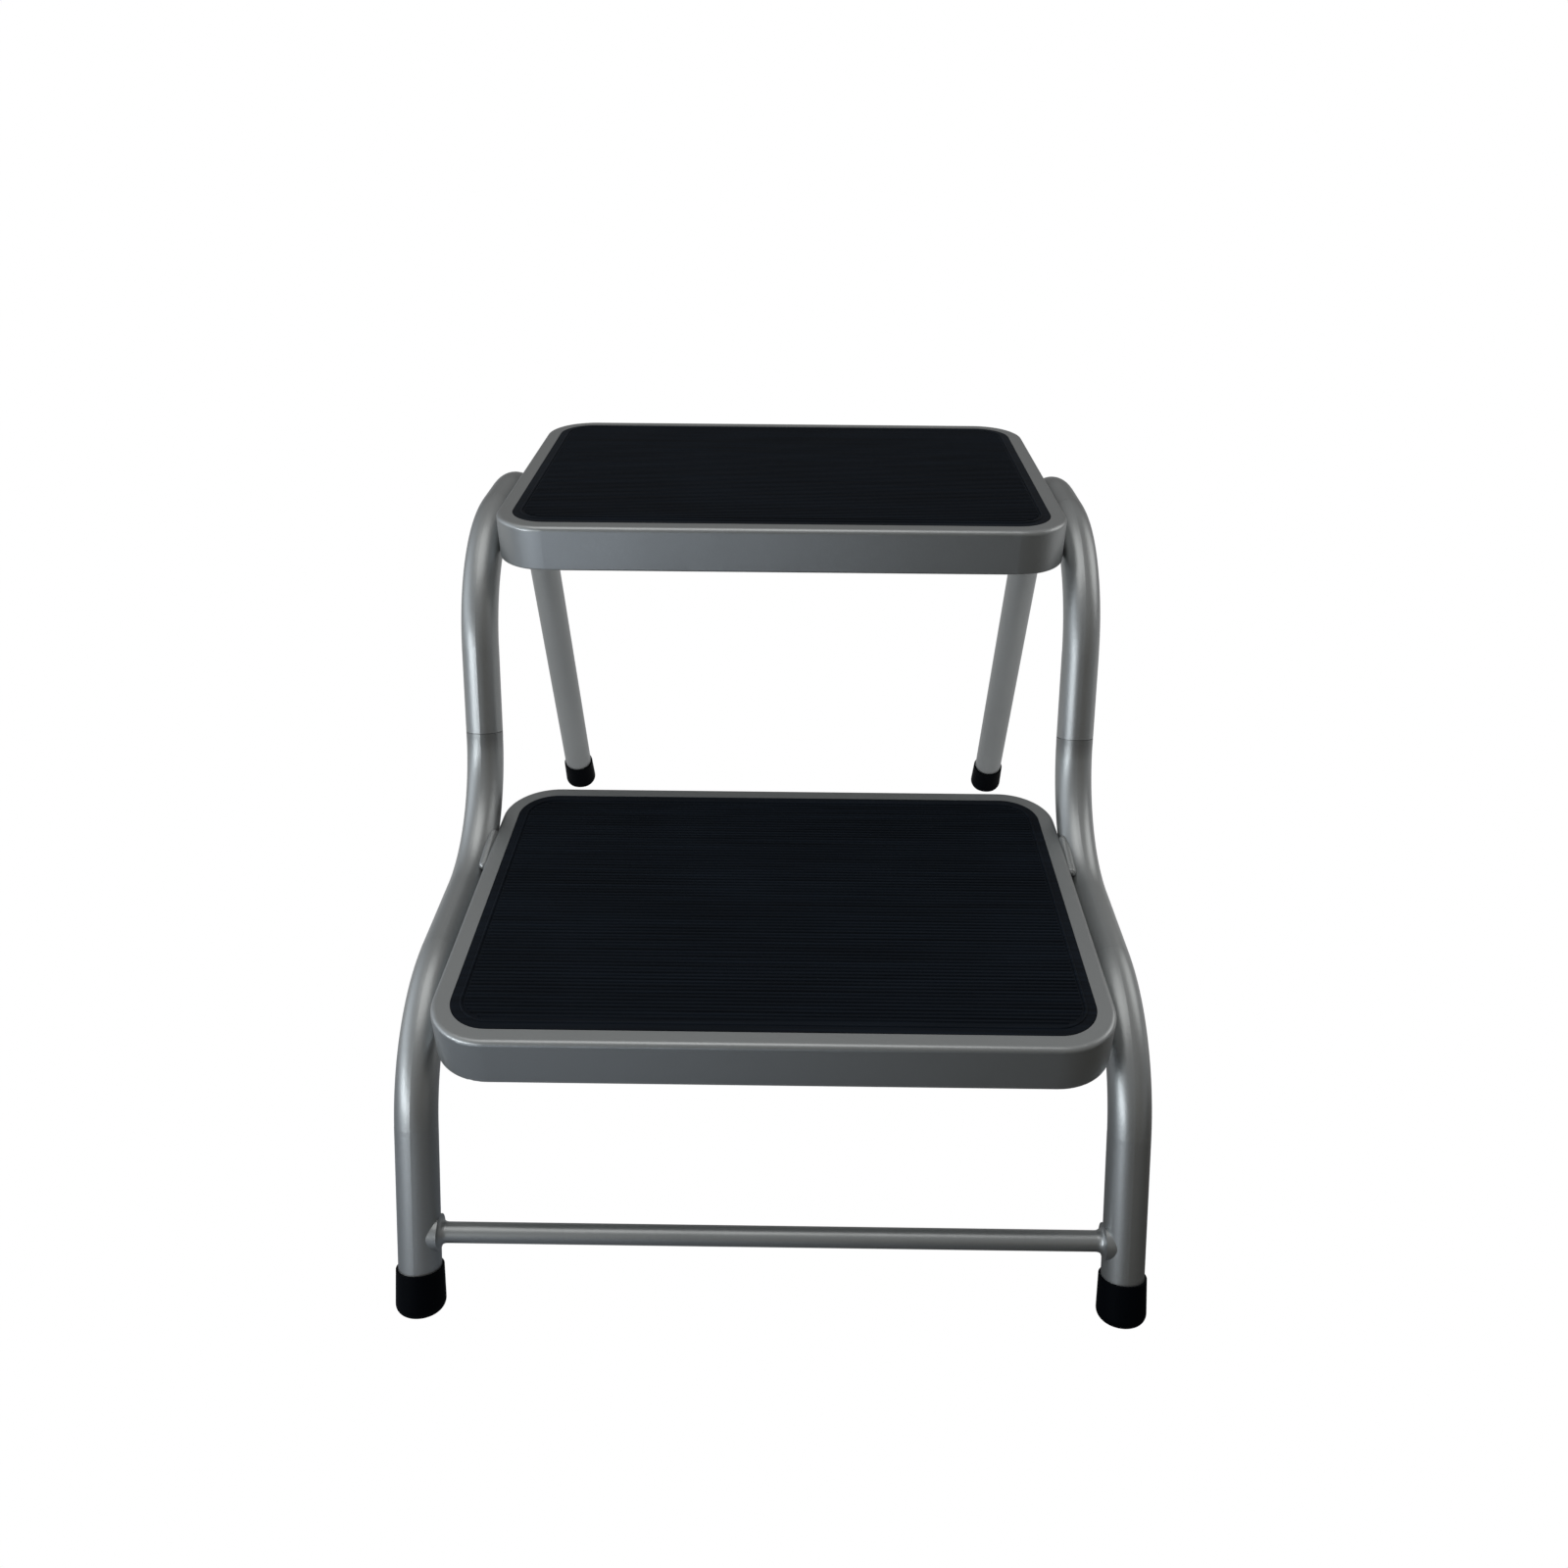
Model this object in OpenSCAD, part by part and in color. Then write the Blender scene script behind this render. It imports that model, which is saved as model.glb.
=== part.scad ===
// Two-tread entry step of bent round tube with pressed sheet treads.
// Millimetres. X runs side to side, Y runs from the front of the step to its back,
// Z is up. The origin is on the floor under the middle of the step.

/* [Treads] */
// Width of each tread pan, side to side
tread_w = 389; // [320:1:460]
// Depth of each tread pan, front to back
tread_d = 265; // [240:1:300]
// Radius of the pan's four corners, seen from above
corner_r = 36; // [24:1:48]
// Height of the pan's skirt
skirt_h = 30; // [24:1:40]
// Thickness of the sheet that the pans are pressed from
sheet_t = 1.2; // [0.8:0.1:1.8]
// Rounding where the rim turns down into the skirt
edge_r = 3; // [2.2:0.1:5]
// Width of the painted rim around the mat
rim_w = 11; // [8.5:0.5:16]
// Depth of the tray that the mat lies in
tray_depth = 2; // [1.6:0.1:3]
// Height of the hem folded inside the skirt's lower edge
hem_h = 8; // [5:0.5:12]

/* [Heights and going] */
// Height of the lower tread's rim above the floor
lower_h = 180; // [170:1:210]
// Height of the upper tread's rim above the lower one
rise = 193; // [180:1:220]
// Distance from the lower tread to the upper one, front edge to front edge
going = 278; // [265:1:300]

/* [Side tubes] */
// Outer diameter of the side tubes
tube_d = 25; // [20:0.5:28]
// Wall thickness of the side tubes
tube_wall = 1.5; // [1:0.1:2]
// Radius of every bend, at the tube's centre line
bend_r = 97; // [70:1:108]
// Lean of the front legs from the vertical, feet forward
front_lean = 24.5; // [15:0.5:28]
// Lean of the risers from the vertical, tops backward
riser_lean = 18; // [14:0.5:24]
// Lean of the rear legs from the vertical, feet backward
rear_lean = 15; // [8:0.5:20]
// Distance of the tube's centre line below the rim that it runs beside
tube_drop = 18; // [14:0.5:20]
// Gap between the skirt and the tube beside it
tube_gap = 0.3; // [0.1:0.1:0.6]
// Distance of the front leg's knee behind the lower tread's front edge
front_knee = 35; // [25:0.5:45]
// Distance of the riser's lower knee in front of the lower tread's back edge
riser_knee = 32; // [25:0.5:45]
// Distance of the rear leg's knee in front of the upper tread's back edge
rear_knee = 66; // [50:0.5:80]

/* [Riser joints] */
// Gap that shows as the seam between the lower and the upper tube
joint_gap = 0.5; // [0.1:0.1:0.8]
// Straight length of the lower tube between its bend and the joint
stub_l = 3; // [2:0.5:9]
// Length of the necked spigot inside the upper tube
spigot_l = 36; // [20:1:40]
// Clearance on diameter between the spigot and the upper tube
spigot_gap = 0.2; // [0.1:0.05:0.4]
// Length over which the tube necks down
neck_l = 3; // [2:0.5:5]

/* [Cross bar] */
// Diameter of the bar between the front legs
bar_d = 12; // [10:0.5:16]
// Height of the bar's centre line above the floor
bar_h = 46; // [38:1:70]
// Size of the weld fillet round each end of the bar
bar_weld = 4.5; // [2.5:0.5:5]

/* [Tread welds] */
// Length of each weld bead under a tread
bead_l = 20; // [12:1:24]
// Spacing of the two beads under each side of a tread, centre to centre
bead_pitch = 30; // [26:1:40]
// Radius of the weld beads
bead_r = 2.4; // [1.8:0.1:3]
// Length of the bead on top, where the riser leaves the lower tread
top_bead_l = 38; // [20:1:40]
// Radius of the bead on top
top_bead_r = 3.4; // [2.6:0.1:3.6]

/* [Mats] */
// Thickness of the mat under its ribs
mat_t = 2.2; // [1.8:0.1:3.2]
// Gap between the mat's edge and the wall of its tray
mat_gap = 0.3; // [0.1:0.1:0.6]
// Width of the plain border between the mat's edge and its raised line
border_w = 5; // [3:0.5:9]
// Radius of the half-round raised line
line_r = 0.9; // [0.6:0.1:1.3]
// Spacing of the ribs
rib_pitch = 3; // [2.5:0.1:6]
// Height of the ribs
rib_h = 0.8; // [0.5:0.1:1.2]
// Width of a rib at its top
rib_top = 1; // [0.6:0.1:1.2]
// Width of a rib at its foot
rib_foot = 1.8; // [1.3:0.1:2.2]

/* [Feet] */
// Outer diameter of a rubber foot at its sole
foot_d = 29; // [29:0.5:34]
// Outer diameter of a rubber foot at its mouth
foot_mouth_d = 27.8; // [26:0.2:30]
// Length of a rubber foot along the leg
foot_l = 28; // [24:1:40]
// Thickness of rubber below the end of the tube
foot_floor = 8; // [7:0.5:12]
// Rounding of the foot's lower edge
foot_round = 7; // [4:0.5:9]
// Depth of the flat that the foot stands on
sole_flat = 2.5; // [1:0.1:3.5]
// Clearance on diameter between a foot and its tube
foot_gap = 0.2; // [0.1:0.1:0.6]

/* [Hidden] */
$fn = 48;

paint = [0.42, 0.44, 0.46];
rubber = [0.05, 0.055, 0.065];

// Side planes of the frame
side_x = tread_w / 2 + tube_gap + tube_d / 2;

// Heights of the tube's two level runs
run_z1 = lower_h - tube_drop;
run_z2 = run_z1 + rise;

// Knees of one side, before the origin is moved: y is counted from the lower tread's centre
knee_a = -tread_d / 2 + front_knee;
knee_b = tread_d / 2 - riser_knee;
knee_c = knee_b + rise * tan(riser_lean);
knee_d = going + tread_d / 2 - rear_knee;

// Turns of the four bends and the lengths that they take from each side of a knee
turn_a = 90 - front_lean;
turn_b = 90 - riser_lean;
turn_d = 90 - rear_lean;
cut_a = bend_r * tan(turn_a / 2);
cut_b = bend_r * tan(turn_b / 2);
cut_d = bend_r * tan(turn_d / 2);

// A foot's lowest rounding stands on the floor with its flat cut off
function round_z(lean) = (foot_d / 2 - foot_round) * sin(lean) + foot_round - sole_flat;
function end_z(lean) = round_z(lean) - foot_round * cos(lean);
front_end_z = end_z(front_lean);
rear_end_z = end_z(rear_lean);
function front_leg_y(z) = knee_a - (run_z1 - z) * tan(front_lean);
function rear_leg_y(z) = knee_d + (run_z2 - z) * tan(rear_lean);

// Foremost and rearmost points of the step, and the shift that centres them
fore_y = front_leg_y(round_z(front_lean)) - (foot_d / 2 - foot_round) * cos(front_lean) - foot_round;
aft_y = rear_leg_y(round_z(rear_lean)) + (foot_d / 2 - foot_round) * cos(rear_lean) + foot_round;
mid_y = (fore_y + aft_y) / 2;

// Knees of the two tubes of one side, each a point [y, z] on the centre line, from the
// end in the foot to the joint and from the joint to the other foot
joint = [knee_b + (cut_b + stub_l) * sin(riser_lean), run_z1 + (cut_b + stub_l) * cos(riser_lean)];
front_end = [front_leg_y(front_end_z) + foot_floor * sin(front_lean),
             front_end_z + foot_floor * cos(front_lean)];
rear_end = [rear_leg_y(rear_end_z) - foot_floor * sin(rear_lean),
            rear_end_z + foot_floor * cos(rear_lean)];
lower_knees = [front_end, [knee_a, run_z1], [knee_b, run_z1], joint];
upper_knees = [joint + joint_gap * [sin(riser_lean), cos(riser_lean)], [knee_c, run_z2], [knee_d, run_z2], rear_end];

tube_bore = tube_d - 2 * tube_wall;
spigot_d = tube_bore - spigot_gap;
spigot_bore = spigot_d - 2 * tube_wall;

// Section of a pipe of outer diameter d and bore b, solid where b is 0
module ring(d, b) {
    difference() {
        circle(d = d);
        if (b > 0) circle(d = b);
    }
}

// Pipe along a list of knees in the YZ plane, straight between them and bent at each of
// them. The bends are drawn a hair thinner in the wall and each straight laps over them.
bend_draw = 0.05;
bend_lap = 1;
function heading(k, i) = atan2(k[i + 1][0] - k[i][0], k[i + 1][1] - k[i][1]);
function turn_at(k, i) = i == 0 || i == len(k) - 1 ? 0 : heading(k, i) - heading(k, i - 1);
function cut_at(k, i) = bend_r * tan(abs(turn_at(k, i)) / 2);
function lap_at(k, i) = i == 0 || i == len(k) - 1 ? 0 : bend_lap;
module pipe(k, d, b) {
    for (i = [0:len(k) - 2]) {
        turn = turn_at(k, i);
        side = turn < 0 ? 1 : 0;
        from = cut_at(k, i) - lap_at(k, i);
        to = norm(k[i + 1] - k[i]) - cut_at(k, i + 1) + lap_at(k, i + 1);
        if (i > 0) translate([0, k[i][0], k[i][1]]) rotate([-heading(k, i - 1), 0, 0])
            translate([0, 0, -cut_at(k, i)]) mirror([0, side, 0]) translate([0, bend_r, 0])
                rotate([0, -90, 0]) rotate([0, 0, -90]) rotate_extrude(angle = abs(turn))
                    translate([bend_r, 0]) rotate(180 * side)
                        ring(d - 2 * bend_draw, b > 0 ? b + 2 * bend_draw : 0);
        translate([0, k[i][0], k[i][1]]) rotate([-heading(k, i), 0, 0])
            translate([0, 0, from]) rotate([0, 0, -90]) linear_extrude(to - from) ring(d, b);
    }
}

// Place of one side's plane
module at_side(side) {
    translate([side * side_x, -mid_y, 0]) children();
}

// Lower side tube: front leg, level run beside the lower tread, start of the riser
// and the necked spigot that goes up into the upper tube
module lower_tube(side) {
    shoulder = (tube_bore + tube_d) / 4;
    color(paint) at_side(side) {
        pipe(lower_knees, tube_d, tube_bore);
        translate([0, joint[0], joint[1]]) rotate([-riser_lean, 0, 0]) rotate([0, 0, -90])
            rotate_extrude() polygon([
                [shoulder, -neck_l], [shoulder, joint_gap / 2], [spigot_d / 2, joint_gap / 2],
                [spigot_d / 2, spigot_l], [spigot_bore / 2, spigot_l], [spigot_bore / 2, 0]]);
    }
}

// Upper side tube: riser, level run beside the upper tread and rear leg
module upper_tube(side) {
    color(paint) at_side(side) pipe(upper_knees, tube_d, tube_bore);
}

// Round bar between the front legs, its ends cut to the legs and a fillet of weld round each
module front_cross_bar() {
    weld_x = side_x - tube_d / 2 - bar_weld;
    wide = bar_d / 2 + bar_weld;
    function fillet(a) = [wide - bar_weld * cos(a), weld_x + bar_weld * sin(a)];
    root_x = weld_x + bar_weld + 7;
    half = concat([for (a = [0:15:90]) fillet(a)], [[wide, root_x], [0, root_x]]);
    color(paint) difference() {
        translate([0, front_leg_y(bar_h) - mid_y, bar_h]) rotate([0, 90, 0])
            rotate_extrude() polygon(concat(half,
                [for (i = [len(half) - 1:-1:0]) [half[i][0], -half[i][1]]]));
        for (s = [-1, 1]) translate([s * side_x, front_leg_y(bar_h) - mid_y, bar_h])
            rotate([-front_lean, 0, 0]) rotate(90) cylinder(h = 60, d = tube_d, center = true);
    }
}

// Rectangle with round corners
module round_rect(w, d, r) {
    square([w, d - 2 * r], center = true);
    square([w - 2 * r, d], center = true);
    for (x = [-1, 1], y = [-1, 1]) translate([x * (w / 2 - r), y * (d / 2 - r)]) circle(r = r);
}

// Sweeps a section round a rectangle with round corners; the section's X is outward
module sweep_round(w, d, r) {
    for (k = [0:3]) {
        a = k % 2 == 0 ? w : d;
        b = k % 2 == 0 ? d : w;
        rotate([0, 0, 90 * k]) {
            translate([a / 2, b / 2 - r, 0]) rotate([90, 0, 0]) linear_extrude(b - 2 * r) children();
            translate([a / 2 - r, b / 2 - r, 0])
                rotate_extrude(angle = 90) translate([r, 0]) children();
        }
    }
}

// Section of the pressed pan from the tray's floor over the rim and down to the hem.
// X = 0 is the skirt's outer face and Y = 0 is the top of the rim.
tray_lip = 6;
module pan_section() {
    t = sheet_t;
    translate([-rim_w - tray_lip, -tray_depth - t]) square([tray_lip + t, t]);
    translate([-rim_w, -tray_depth - t]) square([t, tray_depth + t]);
    translate([-rim_w, -t]) square([rim_w - edge_r, t]);
    intersection() {
        translate([-edge_r, -edge_r]) difference() {
            circle(r = edge_r);
            circle(r = edge_r - t);
        }
        translate([-edge_r, -edge_r]) square([edge_r, edge_r]);
    }
    translate([-t, -skirt_h + t]) square([t, skirt_h - t - edge_r]);
    translate([-2 * t, -skirt_h + t]) square([2 * t, hem_h]);
    translate([-t, -skirt_h + t]) circle(r = t);
}

// A bead of weld along Y with round ends
module bead(l, r) {
    rotate([90, 0, 0]) cylinder(h = l - 2 * r, r = r, center = true);
    for (s = [-1, 1]) translate([0, s * (l / 2 - r), 0]) sphere(r = r);
}

// Height in the groove between skirt and tube at which a bead fills it from wall to wall
groove_z = tube_d / 2 * 0.66;

// Pressed tread pan; z = 0 is the top of the rim
module tread_pan() {
    sweep_round(tread_w, tread_d, corner_r) pan_section();
    translate([0, 0, -tray_depth - sheet_t]) linear_extrude(sheet_t)
        round_rect(tread_w - 2 * rim_w - 2 * tray_lip, tread_d - 2 * rim_w - 2 * tray_lip,
                   corner_r - rim_w - tray_lip);
}

module lower_tread_pan() {
    mid = (knee_a + cut_a + knee_b - cut_b) / 2;
    color(paint) {
        translate([0, -mid_y, lower_h]) tread_pan();
        difference() {
            for (s = [-1, 1]) {
                for (k = [-0.5, 0.5])
                    translate([s * (tread_w / 2 + bead_r - 1), mid + k * bead_pitch - mid_y,
                               run_z1 - groove_z]) bead(bead_l, bead_r);
                translate([s * (tread_w / 2 + top_bead_r - 1.1), knee_b - 0.6 * cut_b - mid_y,
                           lower_h - edge_r - 1.1]) rotate([8, 0, 0]) bead(top_bead_l, top_bead_r);
            }
            for (s = [-1, 1]) at_side(s) pipe(lower_knees, tube_d, 0);
        }
    }
}

module upper_tread_pan() {
    mid = (knee_c + cut_b + knee_d - cut_d) / 2;
    color(paint) {
        translate([0, going - mid_y, lower_h + rise]) tread_pan();
        difference() {
            for (s = [-1, 1], k = [-0.5, 0.5])
                translate([s * (tread_w / 2 + bead_r - 1), mid + k * bead_pitch - mid_y,
                           run_z2 - groove_z]) bead(bead_l, bead_r);
            for (s = [-1, 1]) at_side(s) pipe(upper_knees, tube_d, 0);
        }
    }
}

// Half the length of a rib at a distance y from the middle of a ribbed field w by d
// whose corners have the radius r
function rib_half(y, w, d, r) =
    let (over = abs(y) - (d / 2 - r))
    w / 2 - (over > 0 ? r - sqrt(max(0, r * r - over * over)) : 0);

// Rubber mat with fine ribs across the tread inside a raised line; z = 0 is its underside
module tread_mat() {
    w = tread_w - 2 * rim_w - 2 * mat_gap;
    d = tread_d - 2 * rim_w - 2 * mat_gap;
    r = corner_r - rim_w - mat_gap;
    inset = border_w + line_r;
    edge = inset + line_r + rib_pitch - rib_foot;
    n = floor((d - 2 * edge - rib_foot) / rib_pitch) + 1;
    linear_extrude(mat_t) round_rect(w, d, r);
    translate([0, 0, mat_t]) {
        sweep_round(w - 2 * inset, d - 2 * inset, r - inset) intersection() {
            circle(r = line_r);
            translate([-line_r, 0]) square([2 * line_r, line_r]);
        }
        for (i = [0:n - 1]) {
            y = (i - (n - 1) / 2) * rib_pitch;
            h = rib_half(abs(y) + rib_foot / 2, w - 2 * edge, d - 2 * edge, r - edge);
            translate([0, y, 0]) rotate([90, 0, 90]) linear_extrude(2 * h, center = true)
                polygon([[-rib_foot / 2, 0], [rib_foot / 2, 0], [rib_top / 2, rib_h], [-rib_top / 2, rib_h]]);
        }
    }
}
module lower_tread_mat() {
    color(rubber) translate([0, -mid_y, lower_h - tray_depth]) tread_mat();
}
module upper_tread_mat() {
    color(rubber) translate([0, going - mid_y, lower_h + rise - tray_depth]) tread_mat();
}

// Rubber foot round the end of a leg, its rounded end cut flat where it stands
module foot(x, y, lean, back) {
    color(rubber) difference() {
        translate([x, y, end_z(lean)]) rotate([back * lean, 0, 0]) rotate_extrude() difference() {
            union() {
                square([foot_d / 2 - foot_round, foot_l]);
                translate([0, foot_round]) square([foot_mouth_d / 2, foot_l - foot_round]);
                polygon([[0, foot_round], [foot_d / 2, foot_round],
                         [foot_mouth_d / 2, foot_l], [0, foot_l]]);
                intersection() {
                    translate([foot_d / 2 - foot_round, foot_round]) circle(r = foot_round);
                    square([foot_d, foot_round]);
                }
            }
            translate([0, foot_floor]) square([(tube_d + foot_gap) / 2, foot_l]);
        }
        translate([x - 50, y - 50, -20]) cube([100, 100, 20]);
    }
}
module foot_front(side) {
    foot(side * side_x, front_leg_y(front_end_z) - mid_y, front_lean, -1);
}
module foot_rear(side) {
    foot(side * side_x, rear_leg_y(rear_end_z) - mid_y, rear_lean, 1);
}

lower_tube(-1);  // lower_tube_left
lower_tube(1);  // lower_tube_right
upper_tube(-1);  // upper_tube_left
upper_tube(1);  // upper_tube_right
front_cross_bar();
lower_tread_pan();
upper_tread_pan();
lower_tread_mat();
upper_tread_mat();
foot_front(-1);  // foot_front_left
foot_front(1);  // foot_front_right
foot_rear(-1);  // foot_rear_left
foot_rear(1);  // foot_rear_right
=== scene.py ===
"""Looks of a two-tread entry step: satin grey paint on bent tube and pressed treads, black
rubber mats and feet, rippled weld beads, a white studio floor and the camera.

Lengths are in metres. X runs side to side, Y from the front of the step to its back, Z up.
"""

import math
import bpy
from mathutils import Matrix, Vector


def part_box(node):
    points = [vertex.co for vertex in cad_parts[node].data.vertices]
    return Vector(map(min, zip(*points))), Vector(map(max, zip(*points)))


bl_info = {
    "name": "Entry step looks",
    "version": (1, 0, 0),
    "blender": (4, 5, 0),
    "location": "View3D > Sidebar > Entry step",
    "description": "Paint, rubber, weld beads and studio for a two-tread entry step",
    "category": "Object",
}

import bpy
from mathutils import Matrix, Vector

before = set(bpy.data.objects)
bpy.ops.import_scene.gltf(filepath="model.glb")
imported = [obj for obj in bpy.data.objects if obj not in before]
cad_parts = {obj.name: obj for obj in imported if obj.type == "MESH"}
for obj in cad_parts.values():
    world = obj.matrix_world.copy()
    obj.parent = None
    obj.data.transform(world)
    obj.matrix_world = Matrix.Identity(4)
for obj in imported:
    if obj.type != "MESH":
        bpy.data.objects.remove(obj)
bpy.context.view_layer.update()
TUBES = ("lower_tube_left", "lower_tube_right", "upper_tube_left", "upper_tube_right")
PANS = ("lower_tread_pan", "upper_tread_pan")
MATS = ("lower_tread_mat", "upper_tread_mat")
FEET = ("foot_front_left", "foot_front_right", "foot_rear_left", "foot_rear_right")


# Shader maths


class Node:
    """A shader socket that takes part in Python expressions."""

    def __init__(self, tree, socket):
        self.tree = tree
        self.socket = socket

    def _math(self, operation, *values):
        return self.tree.add("ShaderNodeMath", {"operation": operation}, dict(enumerate(values)))

    def __add__(self, other):
        return self._math("ADD", self, other)

    def __sub__(self, other):
        return self._math("SUBTRACT", self, other)

    def __mul__(self, other):
        return self._math("MULTIPLY", self, other)

    def __rsub__(self, other):
        return self._math("SUBTRACT", other, self)

    __radd__ = __add__

    def power(self, exponent):
        return self._math("POWER", self, exponent)

    def size(self):
        """The value without its sign."""
        return self._math("ABSOLUTE", self)

    def wave(self):
        """0 to 1 and back once for each 2 pi."""
        return self._math("SINE", self) * 0.5 + 0.5

    def ramp(self, low, high):
        """0 below low, 1 above high and smooth in between."""
        return self.tree.add(
            "ShaderNodeMapRange",
            {"interpolation_type": "SMOOTHSTEP"},
            {"Value": self, "From Min": low, "From Max": high},
        )


class Tree:
    """The node tree of a material or a world, built with add()."""

    def __init__(self, owner):
        owner.use_nodes = True
        self.nodes = owner.node_tree.nodes
        self.links = owner.node_tree.links
        self.nodes.clear()

    def add(self, kind, settings=None, sockets=None, output=0):
        """One node: its settings are set first, then its sockets' values or links."""
        node = self.nodes.new(kind)
        for name, value in (settings or {}).items():
            setattr(node, name, value)
        for name, value in (sockets or {}).items():
            if isinstance(value, Node):
                self.links.new(value.socket, node.inputs[name])
            else:
                node.inputs[name].default_value = value
        return Node(self, node.outputs[output]) if node.outputs else None

    def place(self):
        """Object coordinates: a point of the piece in metres."""
        return self.add("ShaderNodeTexCoord", output="Object")

    def part(self, vector, axis):
        """The X, Y or Z of a vector."""
        return self.add("ShaderNodeSeparateXYZ", None, {0: vector}, output=axis)

    def noise(self, vector, scale, detail=2.0):
        """Noise with a number of cells per metre."""
        return self.add(
            "ShaderNodeTexNoise",
            None,
            {"Vector": vector, "Scale": scale, "Detail": detail},
        )

    def stretch(self, vector, scale):
        """A vector whose X, Y and Z are scaled apart, for noise that is drawn out."""
        return self.add("ShaderNodeMapping", None, {"Vector": vector, "Scale": scale})

    def mix(self, factor, first, second):
        """The first colour at factor 0 and the second at factor 1."""
        colours_in, colour_out = (6, 7), 2
        node = self.add("ShaderNodeMix", {"data_type": "RGBA"}, {"Factor": factor}, colour_out)
        for index, value in zip(colours_in, (first, second)):
            inputs = node.socket.node.inputs
            if isinstance(value, Node):
                self.links.new(value.socket, inputs[index])
            else:
                inputs[index].default_value = value
        return node

    def bump(self, height, strength, distance):
        """Normals of a relief whose height of 1 stands for the distance."""
        return self.add(
            "ShaderNodeBump",
            None,
            {"Height": height, "Strength": strength, "Distance": distance},
        )

    def surface(self, **sockets):
        """The Principled shader, wired to the output."""
        values = {name.replace("_", " "): value for name, value in sockets.items()}
        shader = self.add("ShaderNodeBsdfPrincipled", None, values)
        self.add("ShaderNodeOutputMaterial", None, {"Surface": shader})


def shade(colour, factor):
    """A colour made lighter or darker."""
    return tuple(c * factor for c in colour[:3]) + (1.0,)


def tint(colour, factors):
    """A colour with its red, green and blue scaled apart."""
    return tuple(c * factor for c, factor in zip(colour, factors))


def grey(level):
    """A grey of an even level."""
    return (level, level, level, 1.0)


# Materials

# Paint: cells of noise per metre, tones beside its own colour, painted shades for the weld ripple troughs
# and below the riser seams, its coat and its relief
FLAKE = 2600.0
PEEL = 420.0
PAINT_CLOUD = 14.0
FLAKE_DARK = 0.9
FLAKE_LIGHT = 1.1
CLOUD_TONE = 0.86
RIPPLE_TROUGH_SHADE = 0.6
SEAM_SHADE_TONE = 0.5
PAINT_SPREAD = 0.08
PEEL_STRENGTH = 0.16
PAINT_RELIEF = 0.0004
COAT = 0.12
COAT_ROUGHNESS = 0.25

# Painted shade under a riser's seam, where the lower tube starts to bend: its upper edge, how it fades
# further down, and how far back the risers reach
SEAM_EDGE = (-0.0004, 0.0002)
SEAM_FADE = (0.003, 0.016)
RISER_BACK = (0.03, 0.05)

# The ripples of a tread weld: their edge beside the tube, and the bow of each across the bead
BEAD_EDGE = (-0.0002, 0.0005)
BEAD_MIDDLE = 0.002
RIPPLE_BOW = 110.0

# Rubber: cells of noise per metre, tones beside its own colour, its sheen and its relief
MAT_GRAIN = 1900.0
MAT_CLOUD = 11.0
MAT_STREAK = (9.0, 420.0, 60.0)
MAT_DARK = 0.7
MAT_LIGHT = 1.35
MAT_DUST = 1.6
MAT_SHEEN = 0.09
MAT_RELIEF = 0.0003
FOOT_GRAIN = 1400.0
FOOT_SCUFF = (60.0, 60.0, 420.0)
FOOT_DARK = 0.27
FOOT_SHEEN = 0.03
FOOT_RELIEF = 0.0002
SCUFF_HEIGHT = (0.001, 0.012)

# The floor: tints of its two sides, where its light changes, and how strong it is there
COOL = (0.92, 1.0, 1.12)
WARM = (1.08, 1.0, 0.88)
TO_LEFT = (-0.4, 0.4)
TO_FAR_FRONT = (0.55, 0.95)
TO_FRONT_END = (1.15, 1.8)
TO_RIGHT_END = (1.4, 2.4)
TO_BACK = (-0.3, 0.1)
NEAR_WARM = 0.5
NEAR_COOL = 2.2
FAR_WARM = 0.7
FAR_COOL = 10.5
RIGHT_END_LIGHT = 4.0
BACK_LIGHT = 5.1
FLOOR_GLOW = 0.4


def sprayed(name, look, ripples=None, seam_shade=None):
    """Sprayed silver-grey paint with fine metal flake, orange peel and faint clouds.

    ripples gives where a weld bead lies under the paint and the wave along it; the troughs between its
    ripples get a painted shade. The last argument gives where the paint is darkened by a painted shade. Both
    are functions of the tree and the place."""
    material = bpy.data.materials.new(name)
    tree = Tree(material)
    place = tree.place()
    paint = look.paint_colour
    flake = tree.noise(place, FLAKE, 1.0)
    cloud = tree.noise(place, PAINT_CLOUD, 3.0)
    peel = tree.noise(place, PEEL)
    tone = tree.mix(flake, shade(paint, FLAKE_DARK), shade(paint, FLAKE_LIGHT))
    tone = tree.mix(cloud.ramp(0.35, 0.75) * 0.35, tone, shade(paint, CLOUD_TONE))
    uneven = (flake - 0.5) * PAINT_SPREAD + (cloud - 0.5) * PAINT_SPREAD
    height = peel + flake * 0.25
    strength = PEEL_STRENGTH
    if ripples:
        bead, wave = ripples(tree, place)
        height = height * strength + bead * wave * 0.5
        # Painted shade: the troughs between the weld ripples are darker
        tone = tree.mix(bead * (1.0 - wave) * 0.25, tone, shade(paint, RIPPLE_TROUGH_SHADE))
        strength = 1.0
    if seam_shade:
        # Painted shade just under each riser's seam, where the lower tube starts to bend
        tone = tree.mix(seam_shade(tree, place) * 0.5, tone, shade(paint, SEAM_SHADE_TONE))
    tree.surface(
        Base_Color=tone,
        Metallic=look.paint_metal,
        Roughness=look.paint_roughness + uneven,
        Normal=tree.bump(height, strength, PAINT_RELIEF),
        Coat_Weight=COAT,
        Coat_Roughness=COAT_ROUGHNESS,
    )
    return material


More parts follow.
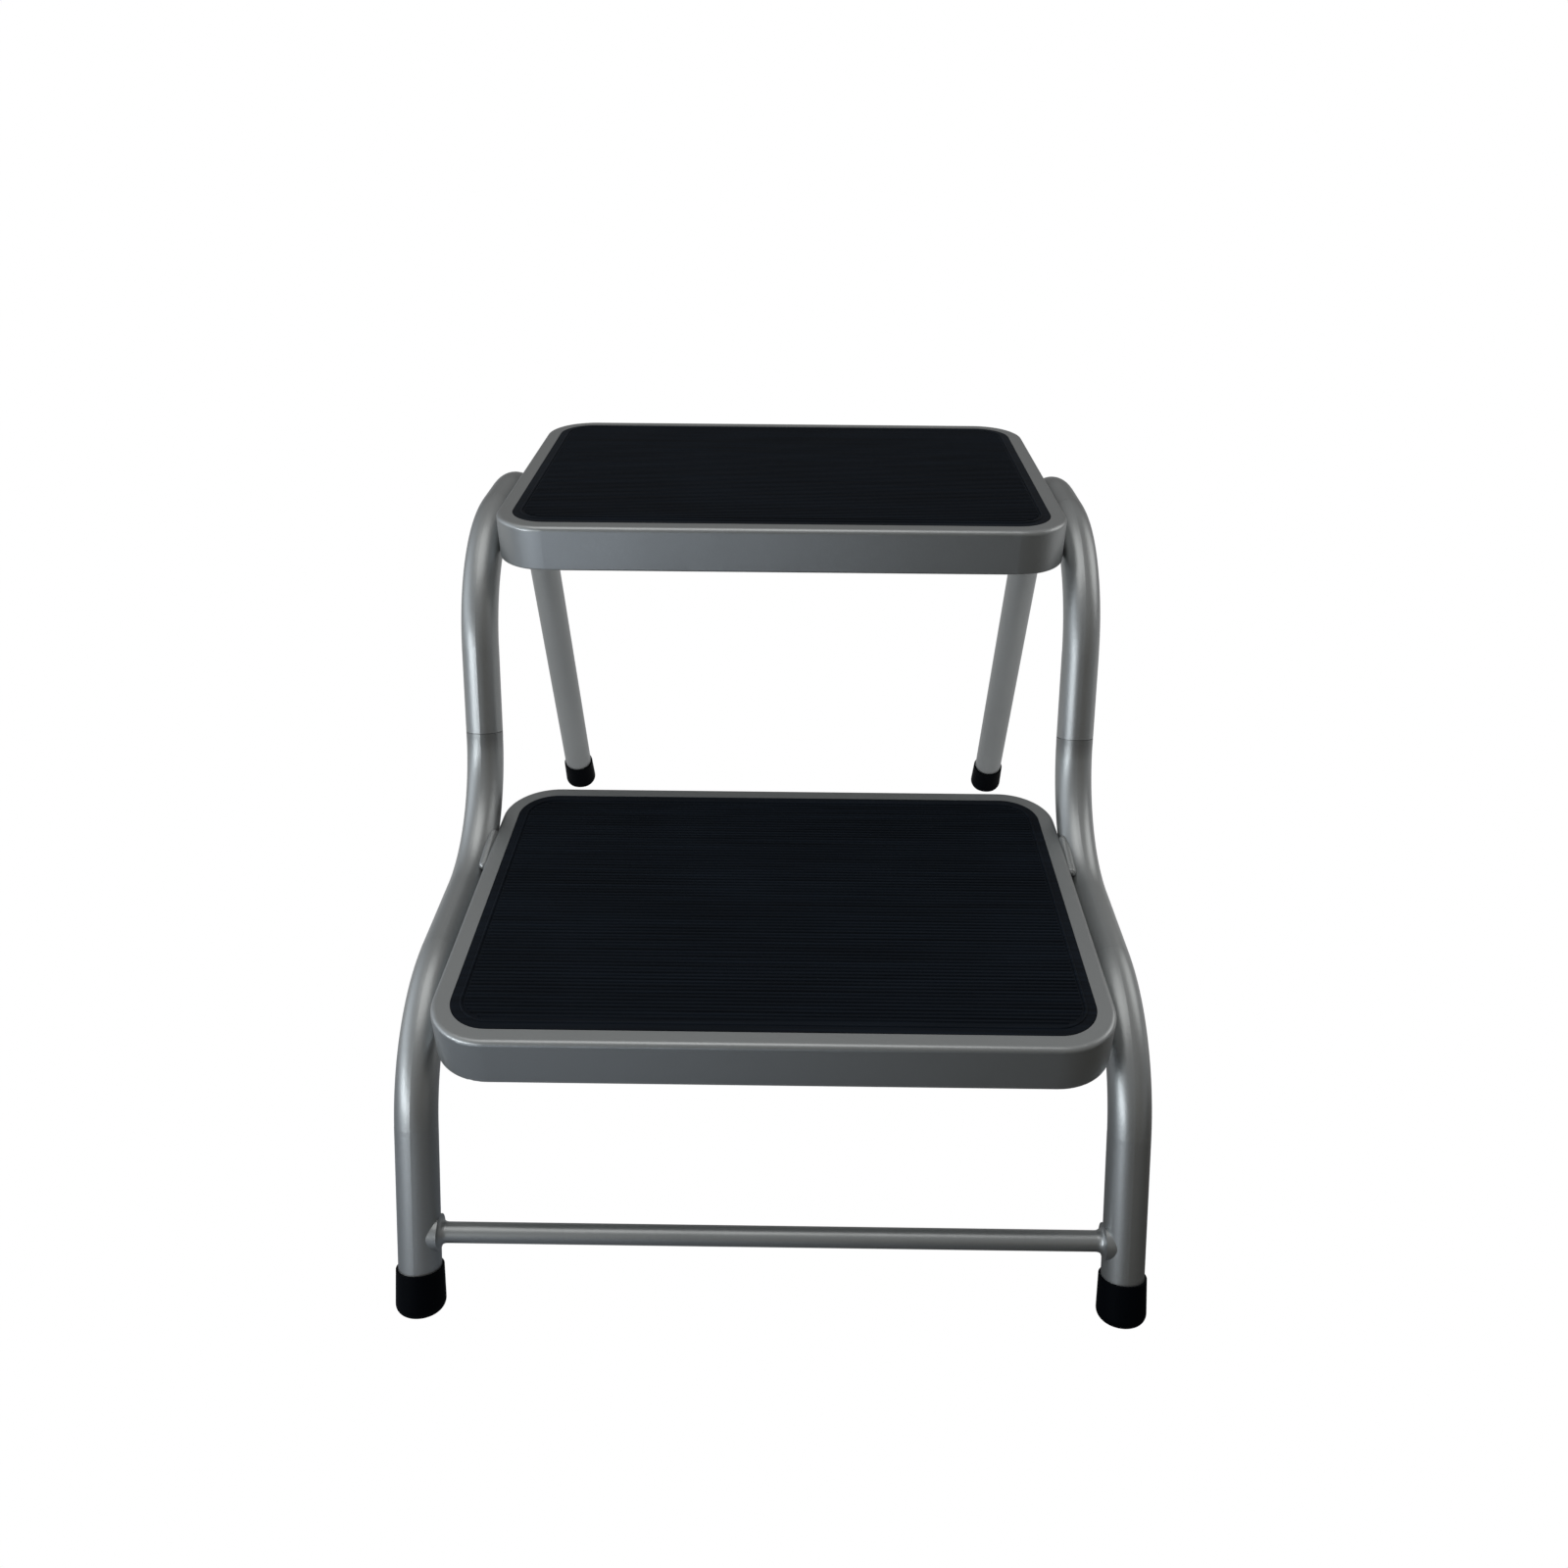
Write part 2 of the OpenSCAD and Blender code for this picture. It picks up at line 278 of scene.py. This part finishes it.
def satin_paint(look):
    """Paint of the bent tubes and of the cross bar, with a painted shade just under the seam of each
    riser, where the lower tube starts to bend."""

    def seam_shade(tree, place):
        lean = look.riser_lean
        depth = tree.part(place, "Y")
        along = depth * math.sin(lean) + tree.part(place, "Z") * math.cos(lean)
        seam = look.seam_depth * math.sin(lean) + look.seam_height * math.cos(lean)
        below = seam - along
        riser = 1.0 - depth.ramp(*RISER_BACK)
        return riser * below.ramp(*SEAM_EDGE) * (1.0 - below.ramp(*SEAM_FADE))

    return sprayed("satin_paint", look, seam_shade=seam_shade)


def tread_paint(look):
    """Paint of the pressed pans. Only their weld beads reach out beside the tubes."""
    welds = bpy.context.scene.step_welds
    tube_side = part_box("lower_tube_right")[0][0]

    def ripples(tree, place):
        out = tree.part(place, "X").size() - tube_side
        bow = (out - BEAD_MIDDLE).power(2.0) * RIPPLE_BOW
        wave = ((tree.part(place, "Y") + bow) * (2.0 * math.pi / welds.ripple_pitch)).wave()
        return out.ramp(*BEAD_EDGE), wave

    return sprayed("tread_paint", look, ripples)


def mat_rubber(look):
    """Black ribbed rubber: dull, finely grained, its ribs drawn slightly along X."""
    material = bpy.data.materials.new("mat_rubber")
    tree = Tree(material)
    place = tree.place()
    rubber = look.rubber_colour
    streak = tree.noise(tree.stretch(place, MAT_STREAK), 1.0)
    grain = tree.noise(place, MAT_GRAIN)
    cloud = tree.noise(place, MAT_CLOUD, 3.0)
    tone = tree.mix(streak.ramp(0.3, 0.75), shade(rubber, MAT_DARK), shade(rubber, MAT_LIGHT))
    tone = tree.mix(cloud.ramp(0.45, 0.8) * 0.4, tone, shade(rubber, MAT_DUST))
    rough = look.mat_roughness + (grain - 0.5) * 0.12 + (streak - 0.5) * 0.1
    normal = tree.bump(grain + streak * 0.6, 0.25, MAT_RELIEF)
    tree.surface(Base_Color=tone, Roughness=rough, Normal=normal, Specular_IOR_Level=MAT_SHEEN)
    return material


def foot_rubber(look):
    """Black moulded rubber of the feet: smoother than the mats, scuffed near the sole."""
    material = bpy.data.materials.new("foot_rubber")
    tree = Tree(material)
    place = tree.place()
    rubber = look.rubber_colour
    grain = tree.noise(place, FOOT_GRAIN)
    scuff = tree.noise(tree.stretch(place, FOOT_SCUFF), 1.0, 3.0)
    low = 1.0 - tree.part(place, "Z").ramp(*SCUFF_HEIGHT)
    tone = tree.mix(low * scuff.ramp(0.45, 0.7) * 0.7, shade(rubber, FOOT_DARK), rubber)
    rough = 0.5 + low * 0.15 + (grain - 0.5) * 0.1
    normal = tree.bump(grain, 0.15, FOOT_RELIEF)
    tree.surface(Base_Color=tone, Roughness=rough, Normal=normal, Specular_IOR_Level=FOOT_SHEEN)
    return material


def studio_white(look):
    """White floor: plain white to the camera and tinted light to the step. That light is cool
    and strong on the left, warm and weak on the right, and neutral at its ends and behind."""
    material = bpy.data.materials.new("studio_white")
    tree = Tree(material)
    place = tree.place()
    across = tree.part(place, "X")
    depth = tree.part(place, "Y")
    forward = 0.0 - depth
    neutral = look.floor_colour
    cool = tint(neutral, COOL)
    warm = tint(neutral, WARM)
    left = (0.0 - across).ramp(*TO_LEFT)
    near = tree.mix(left, shade(warm, NEAR_WARM), shade(cool, NEAR_COOL))
    far = tree.mix(left, shade(warm, FAR_WARM), shade(cool, FAR_COOL))
    tone = tree.mix(forward.ramp(*TO_FAR_FRONT), near, far)
    tone = tree.mix(forward.ramp(*TO_FRONT_END), tone, neutral)
    tone = tree.mix(across.ramp(*TO_RIGHT_END), tone, shade(neutral, RIGHT_END_LIGHT))
    tone = tree.mix(depth.ramp(*TO_BACK), tone, shade(neutral, BACK_LIGHT))
    dull = tree.add("ShaderNodeBsdfDiffuse", None, {"Color": tone})
    faint = tree.add("ShaderNodeEmission", None, {"Color": tone, "Strength": FLOOR_GLOW})
    bounce = tree.add("ShaderNodeAddShader", None, {0: dull, 1: faint})
    white = tree.add("ShaderNodeEmission", None, {"Color": grey(1.0), "Strength": 1.0})
    seen = tree.add("ShaderNodeLightPath", output="Is Camera Ray")
    shown = tree.add("ShaderNodeMixShader", None, {0: seen, 1: bounce, 2: white})
    tree.add("ShaderNodeOutputMaterial", None, {"Surface": shown})
    return material


MAKERS = {
    "satin_paint": satin_paint,
    "tread_paint": tread_paint,
    "mat_rubber": mat_rubber,
    "foot_rubber": foot_rubber,
    "studio_white": studio_white,
}


def finish_of(name):
    """The named material, made the first time that it is asked for."""
    return bpy.data.materials.get(name) or MAKERS[name](bpy.context.scene.step_look)


def paint_nodes(names, finish):
    """Gives CAD nodes a finish."""
    for name in names:
        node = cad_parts[name]
        node.data.materials.clear()
        node.data.materials.append(finish_of(finish))


# Settings


class StepLook(bpy.types.PropertyGroup):
    """Colours and finishes of the step."""

    paint_colour: bpy.props.FloatVectorProperty(
        name="Paint",
        description="Colour of the sprayed paint",
        subtype="COLOR",
        size=4,
        default=(0.352, 0.367, 0.371, 1.0),
    )
    paint_metal: bpy.props.FloatProperty(
        name="Paint metal", description="How metallic the paint looks", default=0.85, subtype="FACTOR"
    )
    paint_roughness: bpy.props.FloatProperty(
        name="Paint roughness", description="Roughness of the paint", default=0.38, subtype="FACTOR"
    )
    seam_depth: bpy.props.FloatProperty(
        name="Seam depth", description="Y of the middle of the risers' seams", default=-0.012, unit="LENGTH"
    )
    seam_height: bpy.props.FloatProperty(
        name="Seam height", description="Z of the middle of the risers' seams", default=0.2319, unit="LENGTH"
    )
    riser_lean: bpy.props.FloatProperty(
        name="Riser lean",
        description="Lean of the risers from the vertical",
        subtype="ANGLE",
        default=math.radians(18.0),
    )
    rubber_colour: bpy.props.FloatVectorProperty(
        name="Rubber",
        description="Colour of the mats and feet",
        subtype="COLOR",
        size=4,
        default=(0.005, 0.0078, 0.0125, 1.0),
    )
    mat_roughness: bpy.props.FloatProperty(
        name="Mat roughness", description="Roughness of the mats", default=0.62, subtype="FACTOR"
    )
    floor_colour: bpy.props.FloatVectorProperty(
        name="Floor",
        description="Colour of the studio floor",
        subtype="COLOR",
        size=4,
        default=(0.1, 0.1, 0.1, 1.0),
    )


class StepWelds(bpy.types.PropertyGroup):
    """Sizes of the ripples on the weld beads."""

    ripple_pitch: bpy.props.FloatProperty(
        name="Ripple pitch",
        description="Distance from ripple to ripple along a bead",
        default=0.0015,
        unit="LENGTH",
    )


class StepStudio(bpy.types.PropertyGroup):
    """The camera of the reference view."""

    lens: bpy.props.FloatProperty(
        name="Lens",
        description="Focal length for a 36 mm sensor, in millimetres",
        default=27.448,
        unit="CAMERA",
    )
    camera_place: bpy.props.FloatVectorProperty(
        name="Camera place",
        description="Where the camera stands",
        subtype="TRANSLATION",
        default=(0.00933, -0.74712, 0.63976),
    )
    camera_pitch: bpy.props.FloatProperty(
        name="Camera pitch", description="How far the camera looks down", subtype="ANGLE", default=0.54807
    )
    camera_yaw: bpy.props.FloatProperty(
        name="Camera yaw",
        description="How far the camera is turned to the right",
        subtype="ANGLE",
        default=-0.00777,
    )
    camera_roll: bpy.props.FloatProperty(
        name="Camera roll", description="How far the camera is tilted", subtype="ANGLE", default=0.00708
    )


# Operators

FLOOR_SIZE = 60.0
FLOOR_DROP = 0.0002
SENSOR = 36.0
CLIP_RANGE = (0.01, 100.0)

# Flat lamps: width and height in metres, power in watts
LAMPS = (
    dict(
        name="window",
        place=(-1.32, -1.24, 0.49),
        aim=(-0.05, 0.0, 0.28),
        size=(1.2, 0.18),
        power=7.2,
        colour=(0.93, 0.97, 1.0),
    ),
    dict(
        name="ceiling",
        place=(-0.3, -0.1, 2.4),
        aim=(0.0, 0.0, 0.1),
        size=(1.8, 1.8),
        power=12.0,
        colour=(1.0, 0.99, 0.97),
    ),
    dict(
        name="fill",
        place=(1.6, 0.5, 1.1),
        aim=(0.1, 0.05, 0.15),
        size=(1.3, 1.0),
        power=5.0,
        colour=(1.0, 0.99, 0.97),
    ),
)

# Light from each side of the room
LEFT_WALL = (1.3, 1.38, 1.46, 1.0)
RIGHT_WALL = (0.115, 0.102, 0.085, 1.0)
RIGHT_END = grey(0.3)
FRONT_LEFT = (0.3, 0.31, 0.32, 1.0)
FRONT_RIGHT = (0.2, 0.19, 0.17, 1.0)
BACK_LOW = grey(0.15)
BACK_HIGH = grey(0.45)
CEILING = grey(0.38)

# Where one side of the room turns into the next, as the X, Y or Z of a direction of length 1,
# and how far the front, the back and the ceiling cover what is there
LEFT_WALL_ENDS = (-1.0, -0.3)
RIGHT_END_STARTS = (0.6, 1.0)
FRONT_TURNS = (-0.9, 0.9)
FRONT_STARTS = (0.1, 0.8)
FRONT_RISES = (0.06, 0.35)
BACK_STARTS = (0.1, 0.9)
BACK_RISES = (0.2, 0.65)
CEILING_STARTS = (0.25, 0.9)
FRONT_COVER = 0.85
BACK_COVER = 0.85
CEILING_COVER = 0.7


class STEP_OT_tubes(bpy.types.Operator):
    """Sprays the four bent side tubes"""

    bl_idname = "step.tubes"
    bl_label = "Paint the side tubes"

    def execute(self, context):
        paint_nodes(TUBES, "satin_paint")
        return {"FINISHED"}


class STEP_OT_treads(bpy.types.Operator):
    """Sprays the pressed tread pans and their weld beads"""

    bl_idname = "step.treads"
    bl_label = "Paint the tread pans"

    def execute(self, context):
        paint_nodes(PANS, "tread_paint")
        return {"FINISHED"}


class STEP_OT_bar(bpy.types.Operator):
    """Sprays the cross bar with its smooth end welds"""

    bl_idname = "step.bar"
    bl_label = "Paint the cross bar"

    def execute(self, context):
        paint_nodes(("front_cross_bar",), "satin_paint")
        return {"FINISHED"}


class STEP_OT_mats(bpy.types.Operator):
    """Gives the tread mats their ribbed rubber"""

    bl_idname = "step.mats"
    bl_label = "Finish the mats"

    def execute(self, context):
        paint_nodes(MATS, "mat_rubber")
        return {"FINISHED"}


class STEP_OT_feet(bpy.types.Operator):
    """Gives the four feet their moulded rubber"""

    bl_idname = "step.feet"
    bl_label = "Finish the feet"

    def execute(self, context):
        paint_nodes(FEET, "foot_rubber")
        return {"FINISHED"}


class STEP_OT_stage(bpy.types.Operator):
    """Lays the white floor and sets the lights and the camera"""

    bl_idname = "step.stage"
    bl_label = "Set the stage"

    def execute(self, context):
        bpy.ops.object.select_all(action="DESELECT")
        bpy.ops.mesh.primitive_plane_add(size=FLOOR_SIZE, location=(0, 0, -FLOOR_DROP))
        floor = context.object
        floor.name = "studio_floor"
        bpy.ops.object.transform_apply(location=True, rotation=True, scale=True)
        floor.data.materials.append(finish_of("studio_white"))
        set_world(context.scene)
        for lamp in LAMPS:
            soft_box(**lamp)
        set_camera(context.scene)
        return {"FINISHED"}


def set_world(scene):
    """A room as the paint reflects it: bright on the left, dim in front, behind, above and on
    the right. The camera sees plain white."""
    world = bpy.data.worlds.new("studio_room")
    scene.world = world
    tree = Tree(world)
    direction = tree.add("ShaderNodeTexCoord", output="Generated")
    across = tree.part(direction, "X")
    depth = tree.part(direction, "Y")
    up = tree.part(direction, "Z")
    right = tree.mix(across.ramp(*RIGHT_END_STARTS), RIGHT_WALL, RIGHT_END)
    room = tree.mix(across.ramp(*LEFT_WALL_ENDS), LEFT_WALL, right)
    front = tree.mix(across.ramp(*FRONT_TURNS), FRONT_LEFT, FRONT_RIGHT)
    facing = (0.0 - depth).ramp(*FRONT_STARTS) * up.ramp(*FRONT_RISES)
    room = tree.mix(facing * FRONT_COVER, room, front)
    back = tree.mix(up.ramp(*BACK_RISES), BACK_LOW, BACK_HIGH)
    room = tree.mix(depth.ramp(*BACK_STARTS) * BACK_COVER, room, back)
    room = tree.mix(up.ramp(*CEILING_STARTS) * CEILING_COVER, room, CEILING)
    seen = tree.add("ShaderNodeLightPath", output="Is Camera Ray")
    tone = tree.mix(seen, room, grey(1.0))
    light = tree.add("ShaderNodeBackground", None, {"Color": tone})
    tree.add("ShaderNodeOutputWorld", None, {"Surface": light})


def soft_box(name, place, aim, size, power, colour):
    """A flat area light pointed at a place; its size is its width and its height."""
    light = bpy.data.lights.new(name, "AREA")
    light.shape = "RECTANGLE"
    light.size, light.size_y = size
    light.energy = power
    light.color = colour
    lamp = bpy.data.objects.new(name, light)
    bpy.context.scene.collection.objects.link(lamp)
    lamp.location = place
    lamp.rotation_euler = (Vector(aim) - Vector(place)).to_track_quat("-Z", "Y").to_euler()


def set_camera(scene):
    """The camera of the reference view."""
    studio = scene.step_studio
    lens = bpy.data.cameras.new("view_camera")
    lens.sensor_width = SENSOR
    lens.sensor_height = SENSOR
    lens.sensor_fit = "HORIZONTAL"
    lens.lens = studio.lens
    lens.clip_start, lens.clip_end = CLIP_RANGE
    camera = bpy.data.objects.new("view_camera", lens)
    scene.collection.objects.link(camera)
    turn = (
        Matrix.Rotation(-studio.camera_yaw, 4, "Z")
        @ Matrix.Rotation(math.pi / 2 - studio.camera_pitch, 4, "X")
        @ Matrix.Rotation(studio.camera_roll, 4, "Z")
    )
    camera.matrix_world = Matrix.Translation(studio.camera_place) @ turn
    scene.camera = camera


class STEP_PT_panel(bpy.types.Panel):
    """Lists the steps that dress the entry step"""

    bl_idname = "STEP_PT_panel"
    bl_label = "Entry step"
    bl_space_type = "VIEW_3D"
    bl_region_type = "UI"
    bl_category = "Entry step"

    def draw(self, context):
        scene = context.scene
        for group in (scene.step_look, scene.step_welds, scene.step_studio):
            box = self.layout.box()
            for name in group.__annotations__:
                box.prop(group, name)
        for operator in OPERATORS:
            self.layout.operator(operator.bl_idname)


OPERATORS = (STEP_OT_tubes, STEP_OT_treads, STEP_OT_bar, STEP_OT_mats, STEP_OT_feet, STEP_OT_stage)
CLASSES = (StepLook, StepWelds, StepStudio) + OPERATORS + (STEP_PT_panel,)


def register():
    for cls in CLASSES:
        bpy.utils.register_class(cls)
    bpy.types.Scene.step_look = bpy.props.PointerProperty(type=StepLook)
    bpy.types.Scene.step_welds = bpy.props.PointerProperty(type=StepWelds)
    bpy.types.Scene.step_studio = bpy.props.PointerProperty(type=StepStudio)


def unregister():
    del bpy.types.Scene.step_studio
    del bpy.types.Scene.step_welds
    del bpy.types.Scene.step_look
    for cls in reversed(CLASSES):
        bpy.utils.unregister_class(cls)


def main():
    register()
    bpy.context.scene.view_settings.view_transform = "Standard"
    bpy.ops.step.tubes()
    bpy.ops.step.treads()
    bpy.ops.step.bar()
    bpy.ops.step.mats()
    bpy.ops.step.feet()
    bpy.ops.step.stage()


if __name__ == "__main__":
    main()
